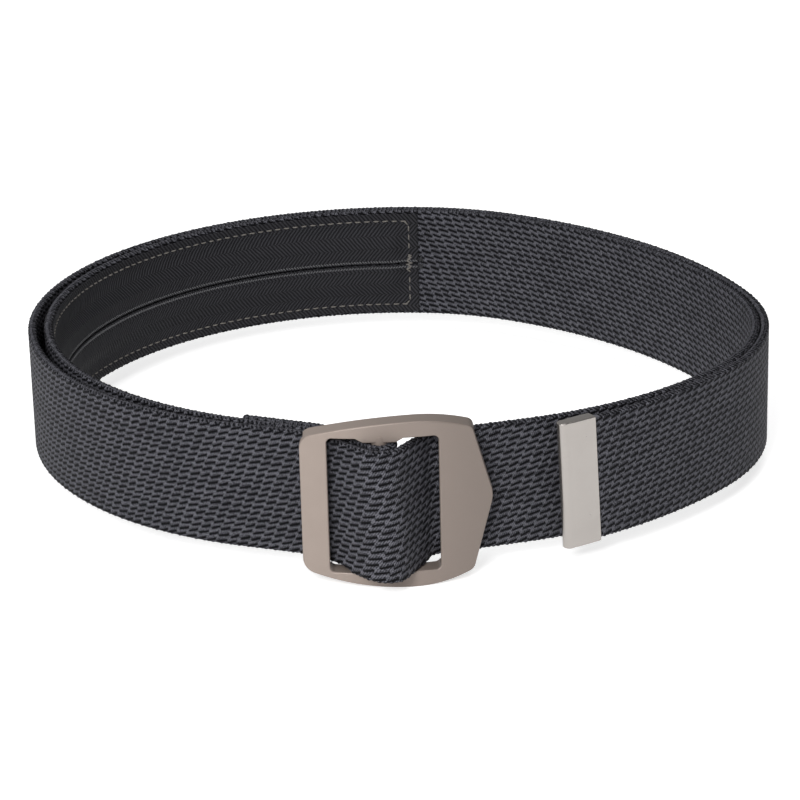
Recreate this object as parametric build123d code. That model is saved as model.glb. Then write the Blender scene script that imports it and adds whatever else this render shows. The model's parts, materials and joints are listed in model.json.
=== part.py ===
"""Money belt: a webbing strap laid in two turns, a plate buckle with a fixed centre bar,
a metal strap tip and a zipped pocket panel sewn to the inside of the strap."""
from build123d import *
import math
import os

# Driving dimensions, mm. The strap stands on edge, so its width runs along Z.
strap_width = 38.0
strap_thick = 2.6
layer_gap = 0.3              # air between layers that lie on each other

# Plan of the closed belt: radii of the outermost face and where each arc ends.
loop_radius = 110.4          # left half, which also carries the zip
rear_right_tighter = 28.4    # how much smaller the radius is than the left half's
rear_right_end_deg = 60.0
right_flat_wider = 47.6      # how much larger
right_flat_end_deg = 16.5
right_end_tighter = 28.9
right_end_end_deg = -38.5
tail_wider = 49.6            # free tail, which springs away from the layer below it
tail_end_deg = -57.5
under_wider = 8.3            # layer that runs under the tail to the buckle

# Buckle: one casting, curved round a vertical axis, with a round centre bar.
bar_aside = -1.4             # bar axis, from the axis of the loop's left half along X
bar_ahead = 8.5              # bar axis in front of the loop's outer face
bar_radius = 2.4
bar_play = 0.1               # running clearance of the strap's loop on the bar
front_radius = 73.0
bar_behind_front = 2.2       # depth of the bar's axis behind the front face
plate_thick = 2.2
rim_depth = 6.0
left_reach = 22.8            # left edge, from the bar
right_reach = 32.3           # point of the right edge, from the bar
crest_reach = 9.5            # highest point of the rim, from the bar
crest_rise = 6.3             # how far that point stands above the strap's edge
left_crest_radius = 105.0
right_crest_radius = 43.0
shoulder_reach = 26.3        # right shoulder, from the bar
left_corner_radius = 4.5
shoulder_radius = 2.6
point_radius = 9.0
window_left = 15.0           # window edges, from the bar
window_right = 16.7
window_play = 1.5            # window above and below the strap
window_corner = 1.6
recess_play = 0.8            # back of the plates, above and below the strap
lug_base = 13.0              # web that carries each end of the bar
lug_tip = 8.6
lug_play = 0.3
bar_into_rim = 0.5           # how far the bar's ends run into the webs
edge_round = 0.45
shortest_rounded = 3.0       # front edges shorter than this stay sharp

# How the strap bends at the buckle: centres from the bar's axis.
left_bend_at = (-27.9, -4.6)
left_bend_radius = 15.0      # front face of the outermost layer
right_bend_at = (16.5, 2.8)
right_bend_radius = 5.0
fold_bend_reach = 13.2       # bend of the folded-back end, along the strap from the bar
fold_bend_radius = 8.0
fold_lap = 1.5               # length of the folded-back end beyond the bend

# Strap tip: sheet metal folded round the end of the tail.
tip_length = 11.8
tip_sheet = 0.5
tip_play = 0.1
tip_notch = 1.6              # open corner beside the fold
tail_straight = 13.0

# Zip panel: two tapes sewn to the inner face, with a coil behind their inner edges.
panel_half = 17.9
panel_rear_deg = 83.2
panel_to_fold = 6.3          # from the panel's front end to the folded-back end
sewn_margin = 4.4
tape_thick = 0.5
raised_half = 6.0            # half height of the flat middle that the slider runs along
raised_depth = 2.1           # back of the tape, from the strap
seam_half = 0.35
coil_half = 2.5
coil_edge_play = 0.3
coil_thick = 0.8
coil_overrun = 1.2           # cut end of the coil, past the panel's rear end
end_flat = 4.0               # sewn-down length at each end of the panel
end_ramp = 6.0
seam_inset = 2.6
end_seam_inset = 3.2
thread_width = 0.5
thread_proud = 0.3
thread_lift = 0.05

# Slider and pull.
slider_length = 9.0
slider_width = 8.6
slider_nose = 6.0
slider_shoulder = 0.45       # where the plate reaches full width, from its middle
slider_corner = 0.8
slider_play = 0.3
back_plate_thick = 0.65
front_plate_thick = 0.8
web_play = 0.15
flange_thick = 0.7
flange_short = 0.6           # how much shorter than the slider's wide half
lug_length = 5.2
lug_width = 1.6
lug_wall = 0.7
pin_radius = 0.5
pin_play = 0.15
pin_lift = 0.2               # room between the slider's front and the pull's knuckle
pull_length = 20.0
pull_width = 5.4
pull_thick = 1.0
pull_slot = 5.0
pull_taper_length = 3.0
pull_taper = 0.4
pull_eye_reach = 15.8        # middle of the eye, from the pin
pull_eye_radius = 1.3
pull_lean_deg = 8.0
leg_play = 0.3

# Box seam on the folded-back end.
box_length = 13.0
box_height = 30.0
cross_short = 2.0            # how much the cross stays clear of the box's corners

# Worked out from the above.
half_width = strap_width / 2
crest_half = half_width + crest_rise
layer_pitch = strap_thick + layer_gap
outer_depth = strap_thick / 2            # centre lines of the layers, under the outer face
under_depth = outer_depth + layer_pitch
fold_depth = under_depth + layer_pitch
loop_axis = Vector(0, 0)
bar_axis = Vector(bar_aside, -loop_radius - bar_ahead)
left_bend = bar_axis + Vector(*left_bend_at)
wrap_radius = bar_radius + bar_play + strap_thick / 2
inner_face = loop_radius - 2 * strap_thick - layer_gap
deg_per_mm = math.degrees(1 / inner_face)
loop_end_deg = panel_rear_deg - coil_overrun * deg_per_mm
touching = 0.001             # arcs whose ends are nearer than this share one point
overlap = 1.0                # how far cutting and joining shapes run past a surface
axis_z = Axis((0, 0, 0), (0, 0, 1))


def turn(deg):
    """Unit vector at an angle from +X."""
    return Vector(math.cos(math.radians(deg)), math.sin(math.radians(deg)))


def left_of(deg):
    """Unit vector to the left of a heading."""
    return turn(deg + 90)


def tangent_heading(first, second):
    """Heading of the line that leaves one round and meets the next.

    A round is (centre, radius), with a positive radius where the strap turns left round it."""
    gap = second[0] - first[0]
    base = math.degrees(math.atan2(gap.Y, gap.X))
    lean = max(-1.0, min(1.0, (first[1] - second[1]) / gap.length))
    return base + math.degrees(math.asin(lean))


def lay(rounds, first_heading, last_heading):
    """Runs of the strap's centre line over a list of rounds: (centre, radius, from, to)."""
    headings = [first_heading]
    for first, second in zip(rounds, rounds[1:]):
        headings.append(tangent_heading(first, second))
    headings.append(last_heading)
    runs = []
    for (centre, radius), start, end in zip(rounds, headings, headings[1:]):
        swing = (end - start) % 360
        if radius < 0:
            swing = swing - 360 if swing > 0 else swing
        runs.append((centre, radius, start, start + swing))
    return runs


def point_on(run, heading, side):
    """Point of a run at a heading, moved to the left by side."""
    centre, radius = run[0], run[1]
    return centre - left_of(heading) * (radius - side)


def side_edges(runs, side, tail):
    """Edges of the strap's centre line moved to the left by side."""
    edges = []
    last = None
    for run in runs:
        start = point_on(run, run[2], side)
        middle = point_on(run, (run[2] + run[3]) / 2, side)
        end = point_on(run, run[3], side)
        if last is not None and (start - last).length > touching:
            edges.append(Edge.make_line(last, start))
        elif last is not None:
            start = last
        edges.append(Edge.make_three_point_arc(start, middle, end))
        last = end
    if tail > 0:
        edges.append(Edge.make_line(last, last + turn(runs[-1][3]) * tail))
    return edges


def band(runs, tail):
    """Strap of full width and thickness along the runs and a straight tail."""
    left = side_edges(runs, strap_thick / 2, tail)
    right = side_edges(runs, -strap_thick / 2, tail)
    start_cap = Edge.make_line(right[0] @ 0, left[0] @ 0)
    end_cap = Edge.make_line(left[-1] @ 1, right[-1] @ 1)
    face = Face(Wire(left + [end_cap] + right + [start_cap]))
    return extrude(face, amount=strap_width, dir=(0, 0, 1))


def loop_rounds(depth):
    """The loop's arcs from the left half to the right end, for a layer this deep under the outer face."""
    radii = [loop_radius, loop_radius - rear_right_tighter, loop_radius + right_flat_wider,
             loop_radius - right_end_tighter]
    ends = [loop_end_deg, rear_right_end_deg, right_flat_end_deg]
    centre = loop_axis
    rounds = [(centre, depth - radii[0])]
    for before, after, deg in zip(radii, radii[1:], ends):
        centre = centre + turn(deg) * (before - after)
        rounds.append((centre, depth - after))
    return rounds


def run_off(rounds, outer_radius, depth):
    """Arc that leaves the right end at its last angle with a radius of its own."""
    centre, radius = rounds[-1]
    return (centre + turn(right_end_end_deg) * (-radius - (outer_radius - depth)), depth - outer_radius)


def fold_bend():
    """Round where the folded-back end leaves the layer it lies on and goes behind the bar."""
    heading = tangent_heading((bar_axis, -wrap_radius), (left_bend, left_bend_radius + under_depth))
    inward = wrap_radius - layer_pitch - fold_bend_radius
    return bar_axis + turn(heading) * fold_bend_reach + left_of(heading) * inward


def fold_start_heading():
    """Heading of the strap at its folded-back end."""
    fold_radius = loop_radius - fold_depth
    leaving = tangent_heading((loop_axis, fold_radius), (left_bend, -left_bend_radius - fold_depth))
    return leaving - math.degrees(fold_lap / fold_radius)


def strap_runs():
    """Whole strap: folded-back end, loop on the bar, under layer, over the bar, outer layer."""
    rounds = [(loop_axis, loop_radius - fold_depth)]
    rounds.append((left_bend, -left_bend_radius - fold_depth))
    rounds.append((fold_bend(), fold_bend_radius))
    rounds.append((bar_axis, -wrap_radius))
    rounds.append((left_bend, left_bend_radius + under_depth))
    rounds += loop_rounds(under_depth)
    rounds.append(run_off(rounds, loop_radius + under_wider, outer_depth))
    rounds.append((bar_axis + Vector(*right_bend_at), right_bend_radius))
    rounds.append((bar_axis, -wrap_radius - layer_pitch))
    rounds.append((left_bend, left_bend_radius + outer_depth))
    rounds += loop_rounds(outer_depth)
    rounds.append(run_off(rounds, loop_radius + tail_wider, outer_depth))
    return lay(rounds, fold_start_heading(), tail_end_deg - 90)


def panel_front_deg():
    """Angle of the panel's front end round the loop's axis."""
    return fold_start_heading() + 270 - panel_to_fold * deg_per_mm


def end_frame(runs):
    """Plane at the free end of the strap, with X along the strap and Z up."""
    tip_point = point_on(runs[-1], runs[-1][3], 0) + turn(runs[-1][3]) * tail_straight
    return Plane(origin=tip_point, x_dir=turn(runs[-1][3]), z_dir=(0, 0, 1))


def rounded_slot(length, half, centre_x, height, base):
    """Block with one full-round end at +X, standing on base."""
    flat = Pos(centre_x - length / 2, 0) * Rectangle(length, 2 * half)
    outline = flat + Pos(centre_x, 0) * Circle(half)
    return Pos(0, 0, base) * extrude(outline, amount=height, dir=(0, 0, 1))


def make_strap_tip(runs):
    """Sheet folded round the strap's end, with a flange over each edge of the webbing."""
    cavity_half = strap_thick / 2 + tip_play
    outer_half = cavity_half + tip_sheet
    fold_x = tip_play - math.sqrt(cavity_half**2 - (strap_thick / 2)**2)
    body_length = tip_length - outer_half
    flange = tip_play + tip_sheet
    shell = rounded_slot(body_length, outer_half, fold_x, strap_width + 2 * flange, -flange)
    cavity = rounded_slot(body_length + overlap, cavity_half, fold_x, strap_width + 2 * tip_play, -tip_play)
    notch = Box(tip_notch, 2 * (cavity_half - tip_play), strap_width + 3 * flange)
    notch = Pos(fold_x, 0, half_width) * notch
    rim_core = Pos(fold_x, 0, half_width) * Box(2 * tip_notch, 2 * outer_half, strap_width + 2 * tip_play)
    tip = shell - cavity - (notch - rim_core)
    return end_frame(runs) * tip


def rim_height(x):
    """Half height of the frame at a distance from the bar."""
    radius = left_crest_radius if x < crest_reach else right_crest_radius
    return crest_half - radius + math.sqrt(radius**2 - (x - crest_reach)**2)


def frame_outline():
    """Front view of the buckle, centred on the bar."""
    left_x, right_x = -left_reach, shoulder_reach
    corners = [(left_x, rim_height(left_x)), (crest_reach, crest_half), (right_x, rim_height(right_x))]
    low = [(x, -z) for x, z in corners]
    mid_left = (left_x + crest_reach) / 2
    mid_right = (right_x + crest_reach) / 2
    tip = (right_reach, 0)
    edges = [
        Edge.make_line(low[0], corners[0]),
        Edge.make_three_point_arc(corners[0], (mid_left, rim_height(mid_left)), corners[1]),
        Edge.make_three_point_arc(corners[1], (mid_right, rim_height(mid_right)), corners[2]),
        Edge.make_line(corners[2], tip),
        Edge.make_line(tip, low[2]),
        Edge.make_three_point_arc(low[2], (mid_right, -rim_height(mid_right)), low[1]),
        Edge.make_three_point_arc(low[1], (mid_left, -rim_height(mid_left)), low[0]),
    ]
    outline = Sketch() + Face(Wire(edges))
    by_x = outline.vertices().sort_by(Axis.X)
    outline = fillet(by_x[:2], left_corner_radius)
    shoulders = [v for v in outline.vertices() if abs(v.X - shoulder_reach) < touching]
    outline = fillet(shoulders, shoulder_radius)
    point = outline.vertices().sort_by(Axis.X)[-1]
    return fillet(point, point_radius)


def frame_window():
    """Opening of the buckle, with a web at each end of the bar."""
    half_z = half_width + window_play
    centre_x = (window_right - window_left) / 2
    window = Pos(centre_x, 0) * RectangleRounded(window_left + window_right, 2 * half_z, window_corner)
    lug_z = half_width + lug_play
    for side in (1, -1):
        web = Polyline((-lug_base / 2, side * half_z), (-lug_tip / 2, side * lug_z),
                       (lug_tip / 2, side * lug_z), (lug_base / 2, side * half_z),
                       (lug_base / 2, side * (half_z + overlap)), (-lug_base / 2, side * (half_z + overlap)),
                       close=True)
        window -= make_face(web)
    return window


def in_front_view(sketch, depth):
    """Front-view sketch as a block that runs both ways through the buckle."""
    return extrude(Plane.XZ * sketch, amount=depth, both=True)


def make_buckle_frame():
    """Curved frame with a deep rim above and below, thin side plates and the centre bar."""
    reach = front_radius / 2
    tall = 3 * crest_half
    arc_centre = Pos(0, front_radius - bar_behind_front, 0)
    shell = arc_centre * (Cylinder(front_radius, tall) - Cylinder(front_radius - rim_depth, tall))
    frame = in_front_view(frame_outline(), reach) & shell
    recess = arc_centre * Cylinder(front_radius - plate_thick, 2 * (half_width + recess_play))
    lug_block = Box(lug_tip, 4 * rim_depth, 2 * (half_width + window_play))
    frame = frame - (recess - lug_block) - in_front_view(frame_window(), reach)
    rim_edges = [e for e in frame.edges() if e.length > shortest_rounded and is_front_edge(e)]
    frame = fillet(rim_edges, edge_round)
    bar = Cylinder(bar_radius, 2 * (half_width + window_play + bar_into_rim))
    frame = frame + bar
    return Pos(bar_axis.X, bar_axis.Y, half_width) * frame


def is_front_edge(edge):
    """True for an edge that lies in the curved front face, which is centred behind the bar."""
    centre_y = front_radius - bar_behind_front
    for place in (0.0, 0.5, 1.0):
        point = edge @ place
        if abs(math.hypot(point.X, point.Y - centre_y) - front_radius) > touching:
            return False
    return True


def tape_profile(back_middle, back_shoulder):
    """Half section of a tape as (depth from the strap, height above the zip's line)."""
    coil_edge = coil_half + coil_edge_play
    heights = [panel_half, panel_half - sewn_margin, raised_half, coil_edge, seam_half]
    backs = [0.0, 0.0, back_shoulder, back_middle, back_middle]
    back = list(zip(backs, heights))
    front = [(depth + tape_thick, height) for depth, height in back]
    return back + front[::-1]


def section(points, deg, side):
    """Section on a plane through the loop's axis; side is 1 for the upper half, -1 for the lower."""
    plane = Plane(origin=(0, 0, half_width), x_dir=turn(deg), z_dir=turn(deg - 90))
    outline = [(inner_face - depth, side * height) for depth, height in points]
    return plane * make_face(Polyline(*outline, close=True))


def swept_round(points, side, first_deg, last_deg):
    """Section carried round the loop's axis."""
    return revolve(section(points, first_deg, side), axis_z, last_deg - first_deg)


def panel_runs(raised, flat, side, overrun):
    """A strip of the panel: sewn flat at both ends, ramped up to its raised middle."""
    rear, front = panel_rear_deg - overrun * deg_per_mm, panel_front_deg()
    rear_flat = panel_rear_deg + end_flat * deg_per_mm
    rear_up = rear_flat + end_ramp * deg_per_mm
    front_flat = front - end_flat * deg_per_mm
    front_up = front_flat - end_ramp * deg_per_mm
    strip = swept_round(raised, side, rear_up, front_up)
    strip += swept_round(flat, side, rear, rear_flat)
    strip += swept_round(flat, side, front_flat, front)
    strip += loft([section(flat, rear_flat, side), section(raised, rear_up, side)], ruled=True)
    strip += loft([section(raised, front_up, side), section(flat, front_flat, side)], ruled=True)
    return strip


def make_tape(side):
    """One zip tape."""
    return panel_runs(tape_profile(raised_depth, raised_depth), tape_profile(coil_thick, 0.0), side, 0.0)


def make_coil(side):
    """One row of the nylon coil, behind its tape's inner edge."""
    def bar_at(depth):
        return [(depth, seam_half), (depth, coil_half), (depth + coil_thick, coil_half),
                (depth + coil_thick, seam_half)]
    return panel_runs(bar_at(raised_depth - coil_thick), bar_at(0.0), side, coil_overrun)


def make_panel_thread():
    """Seam round the edge of the panel, proud of the tapes."""
    top = panel_half - seam_inset
    rear = panel_rear_deg + end_seam_inset * deg_per_mm
    front = panel_front_deg() - end_seam_inset * deg_per_mm
    low = tape_thick + thread_lift
    high = low + thread_proud
    bead = [(low, top - thread_width / 2), (low, top + thread_width / 2),
            (high, top + thread_width / 2), (high, top - thread_width / 2)]
    thread = swept_round(bead, 1, rear, front) + swept_round(bead, -1, rear, front)
    coil_edge = coil_half + coil_edge_play
    face_line = [(low, top), (low, raised_half), (low + coil_thick, coil_edge),
                 (low + coil_thick, -coil_edge), (low, -raised_half), (low, -top)]
    proud_line = [(depth + thread_proud, height) for depth, height in face_line]
    cross = face_line + proud_line[::-1]
    half_thread = thread_width / 2 * deg_per_mm
    thread += swept_round(cross, 1, rear - half_thread, rear + half_thread)
    thread += swept_round(cross, 1, front - half_thread, front + half_thread)
    return thread


def make_fold_thread(runs):
    """Box seam through the folded-back end, on its inner face."""
    start = point_on(runs[0], runs[0][3], strap_thick / 2)
    heading = runs[0][3]
    plane = Plane(origin=start + turn(heading) * box_length / 2 + Vector(0, 0, half_width),
                  x_dir=turn(heading), z_dir=left_of(heading))
    outer = Rectangle(box_length, box_height)
    inner = Rectangle(box_length - 2 * thread_width, box_height - 2 * thread_width)
    reach = math.hypot(box_length, box_height) - cross_short
    lean = math.degrees(math.atan2(box_height, box_length))
    cross = Rot(0, 0, lean) * Rectangle(reach, thread_width) + Rot(0, 0, -lean) * Rectangle(reach, thread_width)
    return extrude(plane * (outer - inner + cross), amount=thread_proud)


def slider_closed_deg():
    """Angle of the closed slider round the loop's axis."""
    return panel_front_deg() - (end_flat + end_ramp + slider_length / 2) * deg_per_mm


def slider_plane():
    """Tangent plane of the closed slider: X towards the closed end, Y up, Z towards the wearer."""
    deg = slider_closed_deg()
    origin = turn(deg) * inner_face + Vector(0, 0, half_width)
    return Plane(origin=origin, x_dir=turn(deg + 90), z_dir=turn(deg + 180))


def plate_outline():
    """Slider plate: wide where the tapes part, narrow where the coils leave together."""
    half_l, half_w, half_n = slider_length / 2, slider_width / 2, slider_nose / 2
    shape = make_face(Polyline((-half_l, -half_n), (slider_shoulder, -half_w), (half_l, -half_w),
                               (half_l, half_w), (slider_shoulder, half_w), (-half_l, half_n), close=True))
    return fillet(shape.vertices(), slider_corner)


def slab(sketch, low, high):
    """Sketch given thickness between two depths."""
    return Pos(0, 0, low) * extrude(sketch, amount=high - low, dir=(0, 0, 1))


def pin_depth():
    """Depth of the pull's pin in front of the strap."""
    front_top = raised_depth + tape_thick + slider_play + front_plate_thick
    return front_top + pin_radius + pin_play + pin_lift


def make_slider():
    """Slider body: two plates joined by a web through the seam, with a lug for the pull."""
    tape_front = raised_depth + tape_thick
    front_low = tape_front + slider_play
    front_top = front_low + front_plate_thick
    coil_back = raised_depth - coil_thick
    back_top = coil_back - slider_play
    body = slab(plate_outline(), front_low, front_top)
    body += slab(plate_outline(), back_top - back_plate_thick, back_top)
    web_half = seam_half - web_play
    web = Pos(slider_length / 4, 0) * Rectangle(slider_length / 3, 2 * web_half)
    body += slab(web, back_top, front_low)
    flange_y = coil_half + slider_play + flange_thick / 2
    for side in (1, -1):
        rail = Pos(slider_length / 4, side * flange_y) * Rectangle(slider_length / 2 - flange_short, flange_thick)
        body += slab(rail, back_top, raised_depth - slider_play)
    lug_top = pin_depth() + pin_radius + pin_play + lug_wall
    lug = slab(Rectangle(lug_length, lug_width), front_top, lug_top)
    eye_low = pin_depth() - pin_radius - pin_play
    eye = slab(Rectangle(lug_length - 2 * lug_wall, lug_width + overlap), eye_low, lug_top - lug_wall)
    lug = lug - eye
    return slider_plane() * (body + lug)


def make_pull():
    """Pull: a tab with a slot that swings over the slider's lug on a cross pin."""
    slot_half = lug_width / 2 + leg_play
    half_w = pull_width / 2
    taper_x = pull_taper_length - pull_length
    tab = make_face(Polyline((0, -half_w), (taper_x, pull_taper - half_w), (-pull_length, -half_w / 2),
                             (-pull_length, half_w / 2), (taper_x, half_w - pull_taper), (0, half_w),
                             close=True))
    slot = Pos(overlap - pull_slot / 2, 0) * Rectangle(pull_slot + 2 * overlap, 2 * slot_half)
    eye = Pos(-pull_eye_reach, 0) * Circle(pull_eye_radius)
    pull = slab(tab - slot - eye, -pull_thick / 2, pull_thick / 2)
    knuckle = Rot(90, 0, 0) * Cylinder(pull_thick / 2, pull_width)
    gap = Box(2 * pull_thick, 2 * slot_half, 2 * pull_thick)
    pull += knuckle - gap
    pull += Rot(90, 0, 0) * Cylinder(pin_radius, pull_width)
    return slider_plane() * Pos(0, 0, pin_depth()) * Rot(0, pull_lean_deg, 0) * pull


def main():
    """Build every piece, stand the belt on z = 0 at the middle of its plan, and write the files."""
    runs = strap_runs()
    pieces = {
        "strap_webbing": band(runs, tail_straight),
        "buckle_frame": make_buckle_frame(),
        "strap_tip": make_strap_tip(runs),
        "zip_tape_upper": make_tape(1),
        "zip_tape_lower": make_tape(-1),
        "zip_coil_upper": make_coil(1),
        "zip_coil_lower": make_coil(-1),
        "zip_slider": make_slider(),
        "zip_pull": make_pull(),
        "panel_thread": make_panel_thread(),
        "fold_thread": make_fold_thread(runs),
    }
    box = Compound([piece.moved(Location()) for piece in pieces.values()]).bounding_box()
    foot = Vector(box.center().X, box.center().Y, box.min.Z)
    place = Pos(-foot.X, -foot.Y, -foot.Z)
    os.makedirs("parts", exist_ok=True)
    for name, piece in pieces.items():
        export_step(place * piece, os.path.join("parts", name + ".step"))
    slide_deg = slider_closed_deg()
    pin_at = turn(slide_deg) * (inner_face - pin_depth()) - foot
    rear_stop = panel_rear_deg + (end_flat + end_ramp + slider_length / 2) * deg_per_mm
    print("overall", box.size)
    print("loop axis", -foot, "bar axis", bar_axis - foot, "pull pin", pin_at)
    print("slider closed at", slide_deg, "open at", rear_stop, "travel", slide_deg - rear_stop)


main()
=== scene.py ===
import json
import math
import bpy
import numpy as np
from mathutils import Matrix, Vector


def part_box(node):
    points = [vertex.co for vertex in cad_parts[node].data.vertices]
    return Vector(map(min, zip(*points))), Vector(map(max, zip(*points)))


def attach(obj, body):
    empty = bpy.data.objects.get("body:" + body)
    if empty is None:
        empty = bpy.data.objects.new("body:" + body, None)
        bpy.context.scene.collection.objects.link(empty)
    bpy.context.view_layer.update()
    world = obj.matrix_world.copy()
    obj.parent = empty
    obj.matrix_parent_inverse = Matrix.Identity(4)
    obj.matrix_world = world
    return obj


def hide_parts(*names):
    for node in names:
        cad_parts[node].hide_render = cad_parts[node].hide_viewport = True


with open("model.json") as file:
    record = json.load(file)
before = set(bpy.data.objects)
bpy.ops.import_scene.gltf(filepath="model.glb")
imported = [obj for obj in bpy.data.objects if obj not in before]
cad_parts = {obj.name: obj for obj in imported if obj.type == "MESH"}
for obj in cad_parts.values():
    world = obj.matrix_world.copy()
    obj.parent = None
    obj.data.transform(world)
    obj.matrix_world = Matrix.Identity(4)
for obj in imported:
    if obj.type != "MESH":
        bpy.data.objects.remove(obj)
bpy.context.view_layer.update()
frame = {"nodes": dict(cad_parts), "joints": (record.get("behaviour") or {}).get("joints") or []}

MM = 0.001

# Plan of the strap, in mm, as the CAD lays it.
LOOP_RADIUS = 110.4
STRAP_THICK = 2.6
LAYER_PITCH = 2.9
HALF_WIDTH = 19.0
WRAP_RADIUS = 3.8
LEFT_BEND = (-27.9, -4.6)
RIGHT_BEND = (16.5, 2.8)
LEFT_BEND_RADIUS = 15.0
RIGHT_BEND_RADIUS = 5.0
FOLD_BEND_RADIUS = 8.0
FOLD_BEND_REACH = 13.2
ARC_RADIUS_CHANGES = (0.0, -28.4, 47.6, -28.9)
ARC_ENDS_DEG = (60.0, 16.5)
RIGHT_END_DEG = -38.5
UNDER_RUN_OFF = 8.3
OUTER_RUN_OFF = 49.6
TAIL_HEADING_DEG = -147.5
TAIL_LENGTH = 13.0
TAIL_POINTS = 6
LONGEST_STEP = 2.6
SHORTEST_STEP = 0.45
INNER_FACE = LOOP_RADIUS - (STRAP_THICK + LAYER_PITCH)
DEG_PER_MM = math.degrees(1 / INNER_FACE)

# Number of the round on which the outer layer crosses the bar.
BAR_ROUND = 11

# How far the outer layer stands away, in mm, at plan angles in degrees.
BULGE_DEG = (100, 125, 150, 180, 205, 225, 240, 250, 259, 266)
BULGE = (0, 0.3, 1.1, 2.0, 2.3, 2.1, 1.4, 0.7, 0.2, 0)

# Lengths along the strap from the bar, in mm, between which it swells and spreads.
SWELL_BACK = 3.0
SWELL_LENGTH = 8.0
SPREAD_FROM = -21.0
SPREAD_TO = 15.0
SPREAD_EASE = 6.0

# The webbing's ribs and edges, in mm.
RIBS = 19
RIB_RELIEF = 0.26
EDGE_ROUND = 0.6
SELVEDGE_PITCH = 1.4

# The zip panel, in mm and degrees.
PANEL_HALF = 17.9
PANEL_REAR_DEG = 83.2
TAPE_THICK = 0.5
TAPE_STAND_OFF = 2.1
SEAM_LINE = 15.3
SEAM_PITCH = 3.2
COIL_RADIUS = 0.24
COIL_HALF_LOOP = 0.85

# The floor's half width, in mm.
FLOOR_HALF = 6000.0

# The camera, in metres, degrees and mm of focal length on a 36 mm film.
CAMERA_PLACE = (-0.00036, -0.9156, 0.3558)
CAMERA_DOWN_DEG = 20.387
CAMERA_ROLL_DEG = -1.417
CAMERA_LENS = 137.7

# Rows of points along one stitch, and points in each.
STITCH_ROWS = 7
STITCH_AROUND = 6


def joint_at(name):
    """Plan position of a joint, in mm."""
    joint = next(j for j in frame["joints"] if j["name"] == name)
    return np.array(joint["pos_m"][:2]) / MM


loop_axis = joint_at("zip_travel")
bar_axis = joint_at("buckle_tilt")
strap_low, strap_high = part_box("strap_webbing")
middle_z = (strap_low.z + strap_high.z) / 2 / MM


# ---------------------------------------------------------------- the strap's path
def smooth_step(x):
    """3x^2 - 2x^3 between 0 and 1."""
    x = np.clip(x, 0, 1)
    return x * x * (3 - 2 * x)


def left_of(heading):
    """Unit vectors to the left of headings, which are in radians."""
    return np.stack([-np.sin(heading), np.cos(heading)], -1)


def tangent_heading(first, second):
    """Heading of the line from one round to the next: the direction between centres, leaned by
    asin of the radii's difference over their distance."""
    gap = second[0] - first[0]
    lean = np.clip((first[1] - second[1]) / np.hypot(*gap), -1, 1)
    return math.atan2(gap[1], gap[0]) + math.asin(lean)


def loop_rounds(depth):
    """Arcs of the loop for a layer at this depth: each centre lies on the last one's end radius,
    moved by the radii's difference."""
    radii = [LOOP_RADIUS + change for change in ARC_RADIUS_CHANGES]
    ends = np.radians([PANEL_REAR_DEG - 1.2 * DEG_PER_MM, *ARC_ENDS_DEG])
    centre = loop_axis
    rounds = [(centre, depth - radii[0])]
    for before, after, end in zip(radii, radii[1:], ends):
        centre = centre + np.array([math.cos(end), math.sin(end)]) * (before - after)
        rounds.append((centre, depth - after))
    return rounds


def run_off(rounds, outer_radius, depth):
    """Arc that leaves the right end with a radius of its own."""
    centre, radius = rounds[-1]
    end = math.radians(RIGHT_END_DEG)
    outward_way = np.array([math.cos(end), math.sin(end)])
    return centre + outward_way * (-radius - (outer_radius - depth)), depth - outer_radius


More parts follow.
